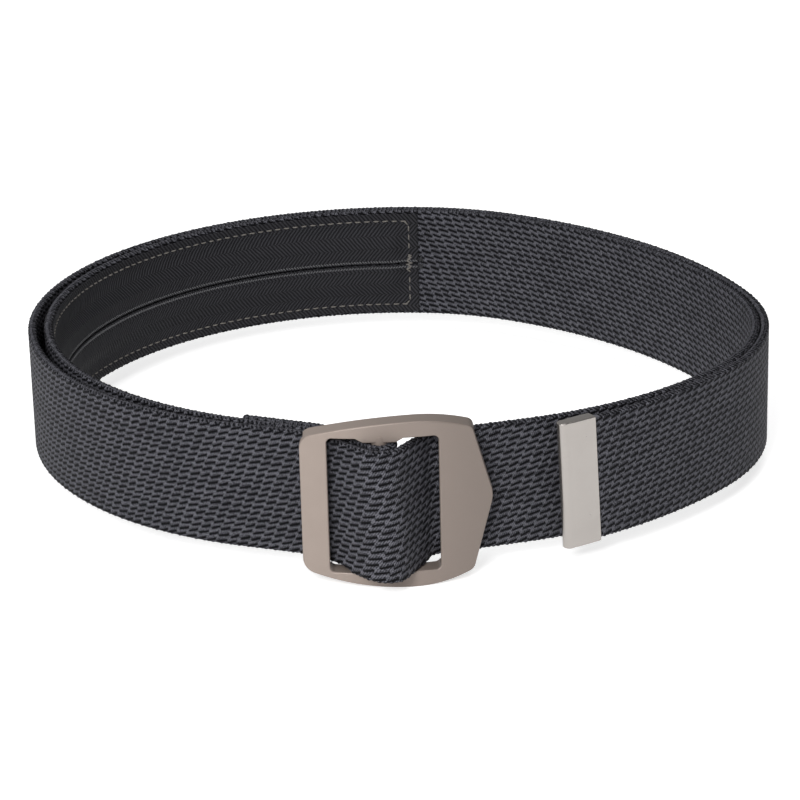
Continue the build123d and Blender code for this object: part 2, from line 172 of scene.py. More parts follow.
def strap_path():
    """Whole strap as rounds joined by tangents, sampled closer on tighter arcs. Returns points,
    headings, lengths and the round each point is on, or half a round between two."""
    outer, under = STRAP_THICK / 2, STRAP_THICK / 2 + LAYER_PITCH
    fold = under + LAYER_PITCH
    left_bend, right_bend = bar_axis + LEFT_BEND, bar_axis + RIGHT_BEND
    bend_heading = tangent_heading((bar_axis, -WRAP_RADIUS), (left_bend, LEFT_BEND_RADIUS + under))
    along = np.array([math.cos(bend_heading), math.sin(bend_heading)])
    fold_side = left_of(bend_heading) * (WRAP_RADIUS - LAYER_PITCH - FOLD_BEND_RADIUS)
    fold_bend = bar_axis + along * FOLD_BEND_REACH + fold_side
    rounds = [(loop_axis, LOOP_RADIUS - fold), (left_bend, -LEFT_BEND_RADIUS - fold), (fold_bend, FOLD_BEND_RADIUS),
              (bar_axis, -WRAP_RADIUS), (left_bend, LEFT_BEND_RADIUS + under)]
    rounds += loop_rounds(under)
    rounds.append(run_off(rounds, LOOP_RADIUS + UNDER_RUN_OFF, outer))
    rounds += [(right_bend, RIGHT_BEND_RADIUS), (bar_axis, -WRAP_RADIUS - LAYER_PITCH),
               (left_bend, LEFT_BEND_RADIUS + outer)]
    rounds += loop_rounds(outer)
    rounds.append(run_off(rounds, LOOP_RADIUS + OUTER_RUN_OFF, outer))
    leaving = tangent_heading(rounds[0], rounds[1])
    headings = [leaving - 1.5 / (LOOP_RADIUS - fold)]
    headings += [tangent_heading(a, b) for a, b in zip(rounds, rounds[1:])]
    headings.append(math.radians(TAIL_HEADING_DEG))
    points, turns, owner = [], [], []
    for number, ((centre, radius), start, end) in enumerate(zip(rounds, headings, headings[1:])):
        swing = (end - start) % math.tau
        swing = swing - math.tau if radius < 0 else swing
        step = min(LONGEST_STEP, max(SHORTEST_STEP, abs(radius) * 0.1))
        heading = start + np.linspace(0, swing, max(3, int(abs(swing * radius) / step) + 2))
        arc = centre - left_of(heading) * radius
        if points:
            last = points[-1][-1]
            count = int(np.hypot(*(arc[0] - last)) / LONGEST_STEP)
            between = np.linspace(0, 1, count + 2)[1:-1, None]
            points.append(last + (arc[0] - last) * between)
            turns.append(np.full(count, start))
            owner.append(np.full(count, number - 0.5))
        points.append(arc)
        turns.append(heading)
        owner.append(np.full(len(arc), float(number)))
    reach = np.linspace(0, TAIL_LENGTH, TAIL_POINTS + 1)[1:, None]
    tail = points[-1][-1] + reach * np.array([math.cos(end), math.sin(end)])
    points = np.concatenate(points + [tail])
    turns = np.concatenate(turns + [np.full(TAIL_POINTS, end)])
    owner = np.concatenate(owner + [np.full(TAIL_POINTS, float(number) + 0.5)])
    keep = np.concatenate([[True], np.hypot(*np.diff(points, axis=0).T) > 0.02])
    points, turns, owner = points[keep], turns[keep], owner[keep]
    length = np.concatenate([[0], np.cumsum(np.hypot(*np.diff(points, axis=0).T))])
    return points, turns, length, owner


def eased(points, headings, owner):
    """Lets the outer layer stand away on the left of the loop, by a smooth hump of the plan angle."""
    plan = points - loop_axis
    deg = np.degrees(np.arctan2(plan[:, 1], plan[:, 0])) % 360
    hump = np.where(owner > BAR_ROUND + 0.5, np.interp(deg, BULGE_DEG, BULGE), 0.0)
    hump = np.convolve(np.pad(hump, 6, mode="edge"), np.hanning(13) / np.hanning(13).sum(), "valid")
    return points + left_of(headings) * hump[:, None]


path_points, path_headings, path_length, path_owner = strap_path()
path_points = eased(path_points, path_headings, path_owner)
over_bar = path_length[np.abs(path_owner - BAR_ROUND) < 0.1].mean()


def settle(plan, z, length):
    """Where the strap crosses the bar it swells outward, more at its lower edge, by a bell curve of
    the length from the bar, and over the buckle's window it spreads downward by a smooth plateau.
    Returns moved plan points and heights."""
    past = length - over_bar
    swell = np.exp(-(((past + SWELL_BACK) / SWELL_LENGTH) ** 2))
    spread = smooth_step((past - SPREAD_FROM) / SPREAD_EASE) * smooth_step((SPREAD_TO - past) / SPREAD_EASE)
    lower = 0.5 - z / (2 * HALF_WIDTH)
    move = swell * (0.6 + 2.0 * lower)
    return plan + np.stack([0.4 * move, -move], -1), z - (0.2 + 1.25 * lower) * spread


# ---------------------------------------------------------------- meshes
def add_mesh(name, verts, faces, uv=None, smooth=True):
    """Mesh from arrays of points in mm and of quads. A uv array gives each point's place on its
    strip, in metres."""
    mesh = bpy.data.meshes.new(name)
    faces = np.asarray(faces, np.int32)
    mesh.vertices.add(len(verts))
    mesh.vertices.foreach_set("co", (np.asarray(verts, float) * MM).astype(np.float32).ravel())
    mesh.loops.add(faces.size)
    mesh.loops.foreach_set("vertex_index", faces.ravel())
    mesh.polygons.add(len(faces))
    mesh.polygons.foreach_set("loop_start", np.arange(0, faces.size, 4, dtype=np.int32))
    mesh.polygons.foreach_set("loop_total", np.full(len(faces), 4, np.int32))
    mesh.polygons.foreach_set("use_smooth", np.full(len(faces), smooth))
    mesh.update(calc_edges=True)
    if uv is not None:
        layer = mesh.uv_layers.new(name="Strip")
        layer.data.foreach_set("uv", np.asarray(uv, np.float32)[faces.ravel()].ravel())
    mesh.validate()
    obj = bpy.data.objects.new(name, mesh)
    bpy.context.scene.collection.objects.link(obj)
    return obj


def tube_faces(rows, around):
    """Quads of a tube of rows by around points; its ends are folded shut by quads across the ring."""
    r, a = np.meshgrid(np.arange(rows - 1), np.arange(around), indexing="ij")
    b = (a + 1) % around
    quads = np.stack([r * around + a, r * around + b, (r + 1) * around + b, (r + 1) * around + a], -1).reshape(-1, 4)
    half = np.arange(around // 2 - 1)
    start = np.stack([half, (around - 1 - half), (around - 2 - half), half + 1], -1)
    last = (rows - 1) * around
    finish = np.stack([half + last, half + 1 + last, last + (around - 2 - half), last + (around - 1 - half)], -1)
    return np.concatenate([quads, start, finish])


def outward(obj):
    """Turns a closed mesh's faces outward, by the sign of its volume."""
    mesh = obj.data
    co = np.empty(len(mesh.vertices) * 3, np.float32)
    mesh.vertices.foreach_get("co", co)
    co = co.reshape(-1, 3)
    idx = np.empty(len(mesh.loops), np.int32)
    mesh.loops.foreach_get("vertex_index", idx)
    quad = co[idx.reshape(-1, 4)]
    spanned = np.cross(quad[:, 1], quad[:, 2]) + np.cross(quad[:, 2], quad[:, 3])
    volume = np.einsum("ij,ij->i", quad[:, 0], spanned).sum()
    if volume < 0:
        mesh.flip_normals()
    return obj


def make_strap():
    """The webbing: a flat band whose faces rise and fall in ribs 2 mm apart, carried along the path.
    Across, the face stands at half the thickness less the relief times (1 - |sin|^0.6) of the
    rib's phase; the edges are half ellipses."""
    pitch = 2 * HALF_WIDTH / RIBS
    flat = HALF_WIDTH - EDGE_ROUND
    z = np.linspace(-flat, flat, RIBS * 4 + 1)
    row = np.abs(np.sin(math.pi * (z + HALF_WIDTH) / pitch)) ** 0.6
    side = STRAP_THICK / 2 - RIB_RELIEF * (1 - row)
    edge = np.linspace(0, math.pi, 7)[1:-1]
    edge_side, edge_z = np.cos(edge) * STRAP_THICK / 2 * 0.85, flat + np.sin(edge) * EDGE_ROUND
    profile_side = np.concatenate([side, edge_side, -side[::-1], -edge_side])
    profile_z = np.concatenate([z, edge_z, z[::-1], -edge_z])
    ends = np.clip(path_length[-1] - path_length, 0.6, 1)
    left = left_of(path_headings)
    plan = path_points[:, None, :] + left[:, None, :] * (profile_side[None, :, None] * ends[:, None, None])
    plan, height = settle(plan, np.broadcast_to(profile_z, plan.shape[:2]), path_length[:, None])
    verts = np.concatenate([plan, (height + middle_z)[..., None]], -1).reshape(-1, 3)
    uv = np.stack([np.broadcast_to(path_length[:, None], plan.shape[:2]),
                   np.broadcast_to(profile_z + HALF_WIDTH, plan.shape[:2])], -1).reshape(-1, 2) * MM
    strap = add_mesh("webbing_strap", verts, tube_faces(len(path_points), len(profile_z)), uv)
    return outward(strap)


def make_selvedge(sign):
    """One turned edge of the webbing: an oval cord along the strap's edge, its half width and height
    swollen by |sin| of the length over the pitch, leaning a little to either side in turn."""
    s = np.arange(0.4, path_length[-1] - 11.0, 0.35)
    plan = np.stack([np.interp(s, path_length, path_points[:, k]) for k in (0, 1)], -1)
    heading = np.interp(s, path_length, np.unwrap(path_headings))
    wave = np.abs(np.sin(math.pi * s / SELVEDGE_PITCH)) ** 0.7
    wave = wave * (1 + 0.25 * np.sin(s * 0.9) * np.sin(s * 2.3 + 1))
    sway = 0.12 * np.sin(math.pi * s / SELVEDGE_PITCH)
    angle = np.linspace(0, math.tau, 8, endpoint=False)
    side = np.cos(angle)[None, :] * (1.05 + 0.22 * wave)[:, None] + sway[:, None]
    up = np.sin(angle)[None, :] * (0.40 + 0.36 * wave)[:, None] + (HALF_WIDTH - 0.55)
    at = plan[:, None, :] + left_of(heading)[:, None, :] * side[..., None]
    at, height = settle(at, sign * up, s[:, None])
    verts = np.concatenate([at, (height + middle_z)[..., None]], -1).reshape(-1, 3)
    uv = np.stack([np.broadcast_to(s[:, None], side.shape), side + 2], -1).reshape(-1, 2) * MM
    name = "selvedge_upper" if sign > 0 else "selvedge_lower"
    return outward(add_mesh(name, verts, tube_faces(len(s), 8), uv))


# ---------------------------------------------------------------- the zip panel
tape_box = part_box("zip_tape_upper")


def panel_front():
    """Angle of the panel's front end: that of the tape's lowest point in plan, on the strap's
    inner face."""
    drop = tape_box[0].y / MM - loop_axis[1]
    return 180 + math.degrees(math.asin(-drop / INNER_FACE))


PANEL_FRONT_DEG = panel_front()


def panel_depth(deg, z):
    """Gap between the strap and the tapes' back: the stand-off in the middle, eased to none at the
    sewn edges and ends, with room for the coil where the zip runs out at an end."""
    across = smooth_step((13.5 - np.abs(z)) / 7.5)
    from_rear = (deg - PANEL_REAR_DEG) / DEG_PER_MM
    from_front = (PANEL_FRONT_DEG - deg) / DEG_PER_MM
    along = smooth_step((np.minimum(from_rear, from_front) - 4.0) / 6.0)
    coil = 0.8 * (1 - along) * smooth_step((3.2 - np.abs(z)) / 1.2)
    return TAPE_STAND_OFF * across * along + coil


def pucker(deg, z):
    """Dip of the tape's face at the seam: a groove along the stitch line, deeper where each stitch
    pulls it in."""
    run = (deg - PANEL_REAR_DEG) / DEG_PER_MM
    groove = np.exp(-(((np.abs(z) - SEAM_LINE) / 0.75) ** 2))
    return groove * (0.14 + 0.10 * np.cos(math.tau * run / SEAM_PITCH))


def on_panel(deg, z, lift):
    """Points above the tapes' front face at plan angles deg, heights z and distances lift."""
    radius = INNER_FACE - panel_depth(deg, z) - TAPE_THICK + pucker(deg, z) - lift
    angle = np.radians(deg)
    return np.stack([loop_axis[0] + radius * np.cos(angle), loop_axis[1] + radius * np.sin(angle),
                     np.broadcast_to(middle_z + z, radius.shape)], -1)


def make_tape(sign):
    """One zip tape: front and back faces on an angle by height grid, a thickness apart, with rounded
    edges, a ragged outer edge and a faint wave between the stitches."""
    deg = np.arange(PANEL_REAR_DEG, PANEL_FRONT_DEG, 0.65 * DEG_PER_MM)
    z = np.concatenate([[0.35], np.linspace(0.5, 6.0, 9), np.linspace(6.6, 14.2, 12),
                        np.linspace(14.6, PANEL_HALF - 0.15, 9), [PANEL_HALF]])
    thick = np.full(len(z), TAPE_THICK)
    thick[[0, -1]] = 0.3
    grid_deg, grid_z = np.meshgrid(deg, z, indexing="ij")
    ragged = 0.12 * np.sin(grid_deg * 9.1) * np.sin(grid_deg * 23.7) * (grid_z > PANEL_HALF - 0.2)
    wave = 0.05 * np.sin(grid_deg * 1.7 + sign) * np.sin(grid_z * 0.4)
    inset = (TAPE_THICK - thick) / 2
    front = on_panel(grid_deg, sign * (grid_z + ragged), wave - inset)
    back = on_panel(grid_deg, sign * (grid_z + ragged),
                    -thick - inset + np.maximum(0.0, pucker(grid_deg, grid_z)))
    verts = np.concatenate([front, back[:, ::-1]], 1)
    run = (grid_deg - PANEL_REAR_DEG) / DEG_PER_MM
    across = np.concatenate([grid_z, grid_z[:, ::-1]], 1) * sign + 20
    uv = np.stack([np.concatenate([run, run], 1), across], -1) * MM
    name = "tape_upper" if sign > 0 else "tape_lower"
    tape = add_mesh(name, verts.reshape(-1, 3), tube_faces(len(deg), 2 * len(z)), uv.reshape(-1, 2))
    return outward(tape)


def make_coil(sign):
    """One coil: a nylon thread wound in flat loops 1 mm apart behind the tape's edge, running past
    its rear end. Height and distance from the tape are the cosine and sine of one turn a mm."""
    deg = np.arange(PANEL_REAR_DEG - 1.5 * DEG_PER_MM, PANEL_FRONT_DEG, DEG_PER_MM / 10)
    turn = math.tau * (deg - PANEL_REAR_DEG) / DEG_PER_MM
    depth = panel_depth(np.clip(deg, PANEL_REAR_DEG, None), np.zeros_like(deg))
    base = np.maximum(depth - 0.42, 0.38)
    z = 1.35 + COIL_HALF_LOOP * np.cos(turn)
    away = base + 0.16 * np.sin(turn)
    radius = INNER_FACE - away
    angle = np.radians(deg)
    centre = np.stack([loop_axis[0] + radius * np.cos(angle), loop_axis[1] + radius * np.sin(angle),
                       middle_z + sign * z], -1)
    along = np.gradient(centre, axis=0)
    along /= np.linalg.norm(along, axis=1)[:, None]
    inward = -np.stack([np.cos(angle), np.sin(angle), np.zeros_like(angle)], -1)
    first = np.cross(along, inward)
    first /= np.linalg.norm(first, axis=1)[:, None]
    second = np.cross(along, first)
    ring = np.linspace(0, math.tau, 6, endpoint=False)[None, :, None]
    verts = centre[:, None] + COIL_RADIUS * (np.cos(ring) * first[:, None] + np.sin(ring) * second[:, None])
    name = "coil_upper" if sign > 0 else "coil_lower"
    return outward(add_mesh(name, verts.reshape(-1, 3), tube_faces(len(deg), 6)))


def stitch_shape(half_width, proud):
    """One stitch as rows by points round: place along from -1 to 1, place across and lift, its
    section following sqrt(1 - x^4) along its length."""
    x = np.linspace(-1, 1, STITCH_ROWS)
    swell = np.sqrt(np.clip(1 - x ** 4, 0.03, 1))
    ring = np.linspace(0, math.tau, STITCH_AROUND, endpoint=False)
    across = np.cos(ring)[None, :] * swell[:, None] * half_width
    return x, across, np.sin(ring)[None, :] * swell[:, None] * proud


def stitch_faces(count):
    """Quads of this many stitches, whose points follow on from each other."""
    faces = tube_faces(STITCH_ROWS, STITCH_AROUND)
    first = np.arange(count) * STITCH_ROWS * STITCH_AROUND
    return (faces[None] + first[:, None, None]).reshape(-1, 4)


def capsules(name, deg, z, length, width, proud, lean):
    """Stitches lying on the panel: each is a capsule bent to the surface, its ends dipping by
    a quarter of its height. deg, z, length and lean are arrays, one value per stitch."""
    x, across, lift = stitch_shape(width / 2, proud)
    lift = lift - 0.25 * proud * (x ** 2)[:, None]
    run = x[None, :, None] * (length / 2)[:, None, None] + across[None] * 0
    side = np.broadcast_to(across[None], run.shape)
    cos, sin = np.cos(lean)[:, None, None], np.sin(lean)[:, None, None]
    at_deg = deg[:, None, None] + (run * cos - side * sin) * DEG_PER_MM
    at_z = z[:, None, None] + run * sin + side * cos
    verts = on_panel(at_deg, at_z, lift[None] + 0.05)
    uv = np.stack([at_deg / DEG_PER_MM, at_z + 20], -1).reshape(-1, 2) * MM
    return outward(add_mesh(name, verts.reshape(-1, 3), stitch_faces(len(deg)), uv))


def make_panel_stitches(rng):
    """Seam round the panel: dashes along both edges and down both ends, a slanted one at each corner,
    and a thick bar of stitches across each end of the zip."""
    rear, front = PANEL_REAR_DEG + SEAM_PITCH * DEG_PER_MM, PANEL_FRONT_DEG - SEAM_PITCH * DEG_PER_MM
    run = np.arange(rear + 1.8 * DEG_PER_MM, front, SEAM_PITCH * DEG_PER_MM)
    heights = np.arange(-12.6, 12.7, 3.15)
    heights = heights[np.abs(heights) > 3.4]
    corner = np.array([13.9, -13.9, 13.9, -13.9])
    in_bar = 12
    bar = np.linspace(-2.9, 2.9, in_bar)
    deg = np.concatenate([run, run, np.full(len(heights), rear), np.full(len(heights), front),
                          [rear + 0.9 * DEG_PER_MM] * 2, [front - 0.9 * DEG_PER_MM] * 2,
                          rear + rng.uniform(-0.5, 0.5, in_bar) * DEG_PER_MM,
                          front + rng.uniform(-0.5, 0.5, in_bar) * DEG_PER_MM])
    z = np.concatenate([np.full(len(run), SEAM_LINE), np.full(len(run), -SEAM_LINE), heights, heights,
                        corner * 1.06, bar, bar])
    lean = np.concatenate([rng.normal(0, 0.05, 2 * len(run)), np.full(2 * len(heights), math.pi / 2),
                           [0.85, -0.85, -0.85, 0.85], rng.normal(0.15, 0.3, 2 * in_bar)])
    length = np.concatenate([rng.normal(2.15, 0.12, 2 * len(run)), np.full(2 * len(heights), 2.1),
                             [2.0] * 4, np.full(2 * in_bar, 1.5)])
    return capsules("panel_stitches", deg, z, length, 0.5, 0.26, lean)


def make_zip_stitches(rng):
    """Fine slanted stitches that hold each coil, 1 mm apart beside the zip's line."""
    run = np.arange(PANEL_REAR_DEG + 0.6 * DEG_PER_MM, PANEL_FRONT_DEG - 0.5 * DEG_PER_MM, DEG_PER_MM)
    deg = np.concatenate([run, run])
    z = np.concatenate([np.full(len(run), 1.05), np.full(len(run), -1.15)])
    lean = np.concatenate([np.full(len(run), 0.7), np.full(len(run), -0.7)]) + rng.normal(0, 0.06, len(deg))
    return capsules("zip_stitches", deg, z, np.full(len(deg), 1.15), 0.42, 0.2, lean)


def make_fold_stitches():
    """Box seam with a cross on the folded-back end: dashes along straight lines in the plane of the
    CAD seam, each shaped like the panel's stitches."""
    low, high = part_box("fold_thread")
    low, high = np.array(low) / MM, np.array(high) / MM
    heading = path_headings[0]
    along = np.array([math.cos(heading), math.sin(heading), 0])
    normal = np.append(left_of(heading), 0)
    centre = (low + high) / 2 - normal * 0.05
    box_x, box_z, cross_x, cross_z = 6.25, 14.75, 5.7, 13.4
    lines = np.array([[-box_x, -box_z, box_x, -box_z], [box_x, -box_z, box_x, box_z],
                      [box_x, box_z, -box_x, box_z], [-box_x, box_z, -box_x, -box_z],
                      [-cross_x, -cross_z, cross_x, cross_z], [-cross_x, cross_z, cross_x, -cross_z]])
    pitch = 2.6
    where, leans = [], []
    for x0, z0, x1, z1 in lines:
        dashes = int(math.hypot(x1 - x0, z1 - z0) / pitch)
        t = (np.arange(dashes) + 0.5) / dashes
        where.append(np.stack([x0 + (x1 - x0) * t, z0 + (z1 - z0) * t], -1))
        leans.append(np.full(len(t), math.atan2(z1 - z0, x1 - x0)))
    where, lean = np.concatenate(where), np.concatenate(leans)
    x, across, lift = stitch_shape(0.25, 0.2)
    run = np.broadcast_to((x * 0.95)[:, None], across.shape)
    cos, sin = np.cos(lean)[:, None, None], np.sin(lean)[:, None, None]
    px = where[:, 0, None, None] + run * cos - across * sin
    pz = where[:, 1, None, None] + run * sin + across * cos
    lift = np.broadcast_to(lift, px.shape)
    verts = centre + px[..., None] * along + pz[..., None] * np.array([0, 0, 1.0]) + lift[..., None] * normal
    return outward(add_mesh("fold_stitches", verts.reshape(-1, 3), stitch_faces(len(where))))


def make_tip():
    """Folded sheet over the strap's end: a rounded-box surface whose plan outline is a full round at
    the fold and small rounds at the open end, dished beside the fold, closed by quarter rounds
    above and below, and leaning 3 degrees."""
    end, heading = path_points[-1], path_headings[-1]
    along, normal = np.array([math.cos(heading), math.sin(heading)]), left_of(heading)
    half, length, corner = 1.92, 12.2, 0.35
    nose = np.linspace(-math.pi / 2, math.pi / 2, 17)
    nose_x, nose_y = np.cos(nose) * half, np.sin(nose) * half
    back = np.linspace(0, half - length + corner, 22)[1:]
    dish = 0.22 * np.exp(-(((back + 0.9) / 0.8) ** 2))
    turn = np.linspace(0, math.pi / 2, 5)[1:]
    heel_x = half - length + corner - corner * np.sin(turn)
    heel_y = half - corner + corner * np.cos(turn)
    side_x, side_y = np.concatenate([back, heel_x]), np.concatenate([half - dish, heel_y])
    x = np.concatenate([nose_x, side_x, side_x[::-1]])
    y = np.concatenate([nose_y, side_y, -side_y[::-1]])
    tall = HALF_WIDTH + 0.6
    rim = np.linspace(0, math.pi / 2, 5)
    levels = 24
    z = np.concatenate([-tall + corner * (1 - np.sin(rim)[::-1]),
                        np.linspace(-tall + 2 * corner, tall - 2 * corner, levels), tall - corner * (1 - np.sin(rim))])
    inset = np.concatenate([corner * (1 - np.cos(rim)[::-1]), np.zeros(levels), corner * (1 - np.cos(rim))])
    size = 1 - inset[:, None] / half
    grid_x = x[None, :] * (1 - inset[:, None] / (length / 2)) - inset[:, None]
    grid_y = y[None, :] * size
    grid_z = np.broadcast_to(z[:, None], grid_x.shape)
    lean = math.tan(math.radians(3.0))
    place = end[None, None, :] + (grid_x + lean * grid_z)[..., None] * along + grid_y[..., None] * normal
    verts = np.concatenate([place, (grid_z + middle_z)[..., None]], -1).reshape(-1, 3)
    return outward(add_mesh("tip_cap", verts, tube_faces(len(z), len(x))))


# ---------------------------------------------------------------- shader groups
def new_group(name, inputs, outputs):
    """Empty shader node group with these float inputs and outputs."""
    tree = bpy.data.node_groups.new(name, "ShaderNodeTree")
    for label, value in inputs:
        socket = tree.interface.new_socket(name=label, in_out="INPUT", socket_type="NodeSocketFloat")
        socket.default_value = value
    for label in outputs:
        tree.interface.new_socket(name=label, in_out="OUTPUT", socket_type="NodeSocketFloat")
    return tree, tree.nodes.new("NodeGroupInput"), tree.nodes.new("NodeGroupOutput")


def calc(tree, kind, *values):
    """Math node fed by sockets or plain values."""
    node = tree.nodes.new("ShaderNodeMath")
    node.operation = kind
    for socket, value in zip(node.inputs, values):
        if isinstance(value, (int, float)):
            socket.default_value = value
        else:
            tree.links.new(value, socket)
    return node.outputs[0]


def strip_uv(tree):
    """The piece's place on its strip: metres along, metres across."""
    uv = tree.nodes.new("ShaderNodeUVMap")
    uv.uv_map = "Strip"
    split = tree.nodes.new("ShaderNodeSeparateXYZ")
    tree.links.new(uv.outputs[0], split.inputs[0])
    return split.outputs[0], split.outputs[1]


def noise(tree, x, y, detail=2.0):
    """Smooth noise of two already scaled coordinates."""
    join = tree.nodes.new("ShaderNodeCombineXYZ")
    for socket, value in zip(join.inputs, (x, y)):
        tree.links.new(value, socket)
    node = tree.nodes.new("ShaderNodeTexNoise")
    node.inputs["Scale"].default_value = 1.0
    node.inputs["Detail"].default_value = detail
    tree.links.new(join.outputs[0], node.inputs["Vector"])
    return node.outputs[0]


def weave_group():
    """Rows of floats with a slanted gap in each cell. Row is the floor of across over pitch, and
    the cell's local x is the fraction of along over the float's length plus a lag per row. The gap
    is 1 - |x / 0.6|^3 - |t / 0.17|^2 with t = y + slant x, the ridge between gaps rises with
    |2.3 t|^1.3, and fine slanted plies and fibre noise lie on the ridges. Tone sets painted light:
    near-black painted shade in the gaps, a painted highlight on the ridges' crests and plies."""
    tree, given, out = new_group("webbing_weave", [("Pitch", 0.002), ("Float", 0.0033), ("Slant", 0.5), ("Lag", 0.27)],
                                 ["Height", "Tone", "Fuzz"])
    u, v = strip_uv(tree)
    drift = noise(tree, calc(tree, "MULTIPLY", u, 160.0), calc(tree, "MULTIPLY", v, 300.0), 1.0)
    sway = calc(tree, "SUBTRACT", drift, 0.5)
    rows = calc(tree, "ADD", calc(tree, "DIVIDE", v, given.outputs["Pitch"]), calc(tree, "MULTIPLY", sway, 0.22))
    row = calc(tree, "FLOOR", rows)
    y = calc(tree, "SUBTRACT", calc(tree, "FRACT", rows), 0.5)
    lag = calc(tree, "MULTIPLY", row, given.outputs["Lag"])
    along = calc(tree, "ADD", calc(tree, "DIVIDE", u, given.outputs["Float"]), lag)
    along = calc(tree, "ADD", along, calc(tree, "MULTIPLY", sway, 0.5))
    x = calc(tree, "SUBTRACT", calc(tree, "FRACT", along), 0.5)
    column = calc(tree, "FLOOR", along)
    tilt = calc(tree, "ADD", y, calc(tree, "MULTIPLY", x, given.outputs["Slant"]))
    far_along = calc(tree, "POWER", calc(tree, "ABSOLUTE", calc(tree, "DIVIDE", x, 0.6)), 3.0)
    far_across = calc(tree, "POWER", calc(tree, "ABSOLUTE", calc(tree, "DIVIDE", tilt, 0.17)), 2.0)
    inside = calc(tree, "SUBTRACT", 1.0, calc(tree, "ADD", far_along, far_across))
    gap = calc(tree, "MINIMUM", calc(tree, "MULTIPLY", calc(tree, "MAXIMUM", inside, 0.0), 1.4), 1.0)
    crest = calc(tree, "POWER", calc(tree, "ABSOLUTE", calc(tree, "MULTIPLY", tilt, 2.3)), 1.3)
    crest = calc(tree, "MINIMUM", crest, 1.0)
    turns = calc(tree, "ADD", calc(tree, "DIVIDE", u, 0.00062), calc(tree, "DIVIDE", v, 0.0011))
    ply = calc(tree, "SINE", calc(tree, "MULTIPLY", turns, math.tau))
    fibre = noise(tree, calc(tree, "MULTIPLY", calc(tree, "SUBTRACT", u, calc(tree, "MULTIPLY", v, 0.5)), 1500.0),
                  calc(tree, "MULTIPLY", calc(tree, "ADD", v, calc(tree, "MULTIPLY", u, 0.45)), 3800.0), 2.0)
    pick = tree.nodes.new("ShaderNodeTexWhiteNoise")
    pick.noise_dimensions = "2D"
    join = tree.nodes.new("ShaderNodeCombineXYZ")
    tree.links.new(column, join.inputs[0])
    tree.links.new(row, join.inputs[1])
    tree.links.new(join.outputs[0], pick.inputs["Vector"])
    rise = calc(tree, "ADD", 0.2, calc(tree, "MULTIPLY", crest, 0.8))
    ridge = calc(tree, "MULTIPLY", calc(tree, "SUBTRACT", 1.0, gap), rise)
    height = calc(tree, "ADD", ridge, calc(tree, "MULTIPLY", ply, 0.09))
    height = calc(tree, "ADD", height, calc(tree, "MULTIPLY", fibre, 0.3))
    # Tone is painted light: low in the gaps for painted shade, high on the ridges' crests and plies for a painted
    # highlight.
    tone = calc(tree, "MULTIPLY", ridge, calc(tree, "ADD", calc(tree, "MULTIPLY", pick.outputs[0], 0.35), 0.95))
    tone = calc(tree, "MULTIPLY", tone, calc(tree, "ADD", calc(tree, "MULTIPLY", ply, 0.3), 0.8))
    fleck = calc(tree, "SUBTRACT", calc(tree, "MULTIPLY", fibre, 3.4), 0.7)
    tone = calc(tree, "MULTIPLY", tone, calc(tree, "MAXIMUM", fleck, 0.1))
    tree.links.new(height, out.inputs["Height"])
    tree.links.new(tone, out.inputs["Tone"])
    tree.links.new(fibre, out.inputs["Fuzz"])
    return tree


def herringbone_group():
    """Bands of slanted ribs. The band is the floor of across over its height, and the rib phase is
    along plus or minus 0.85 across, by turns, over the pitch."""
    tree, given, out = new_group("tape_herringbone", [("Band", 0.0043), ("Pitch", 0.0014)], ["Height", "Tone"])
    u, v = strip_uv(tree)
    sway = noise(tree, calc(tree, "MULTIPLY", u, 300.0), calc(tree, "MULTIPLY", v, 500.0), 1.0)
    bands = calc(tree, "DIVIDE", v, given.outputs["Band"])
    odd = calc(tree, "MULTIPLY", calc(tree, "MODULO", calc(tree, "FLOOR", bands), 2.0), 2.0)
    sign = calc(tree, "SUBTRACT", odd, 1.0)
    slant = calc(tree, "DIVIDE", calc(tree, "MULTIPLY", v, 0.85), given.outputs["Pitch"])
    phase = calc(tree, "ADD", calc(tree, "DIVIDE", u, given.outputs["Pitch"]), calc(tree, "MULTIPLY", sign, slant))
    phase = calc(tree, "ADD", phase, calc(tree, "MULTIPLY", sway, 0.5))
    rib = calc(tree, "SINE", calc(tree, "MULTIPLY", phase, math.tau))
    rib = calc(tree, "ADD", calc(tree, "MULTIPLY", rib, 0.5), 0.5)
    grain = noise(tree, calc(tree, "MULTIPLY", u, 3400.0), calc(tree, "MULTIPLY", v, 3400.0), 2.0)
    height = calc(tree, "ADD", rib, calc(tree, "MULTIPLY", grain, 0.35))
    tone = calc(tree, "MULTIPLY", calc(tree, "ADD", calc(tree, "MULTIPLY", rib, 0.85), 0.05),
                calc(tree, "ADD", calc(tree, "MULTIPLY", grain, 0.9), 0.55))
    tree.links.new(height, out.inputs["Height"])
    tree.links.new(tone, out.inputs["Tone"])
    return tree


def satin_group():
    """Fine grain of blasted and brushed metal on Object coordinates: small noise, long streaks
    along X and a cloudy wear mask."""
    tree, given, out = new_group("satin_grain", [("Grain", 5200.0), ("Streak", 900.0)], ["Grain", "Streak", "Cloud"])
    where = tree.nodes.new("ShaderNodeTexCoord").outputs["Object"]
    grain = tree.nodes.new("ShaderNodeTexNoise")
    tree.links.new(where, grain.inputs["Vector"])
    tree.links.new(given.outputs["Grain"], grain.inputs["Scale"])
    stretch = tree.nodes.new("ShaderNodeMapping")
    stretch.inputs["Scale"].default_value = (0.06, 1.0, 1.0)
    tree.links.new(where, stretch.inputs["Vector"])
    streak = tree.nodes.new("ShaderNodeTexNoise")
    tree.links.new(stretch.outputs[0], streak.inputs["Vector"])
    tree.links.new(given.outputs["Streak"], streak.inputs["Scale"])
    cloud = tree.nodes.new("ShaderNodeTexNoise")
    cloud.inputs["Scale"].default_value = 120.0
    tree.links.new(where, cloud.inputs["Vector"])
    for node, label in ((grain, "Grain"), (streak, "Streak"), (cloud, "Cloud")):
        tree.links.new(node.outputs[0], out.inputs[label])
    return tree


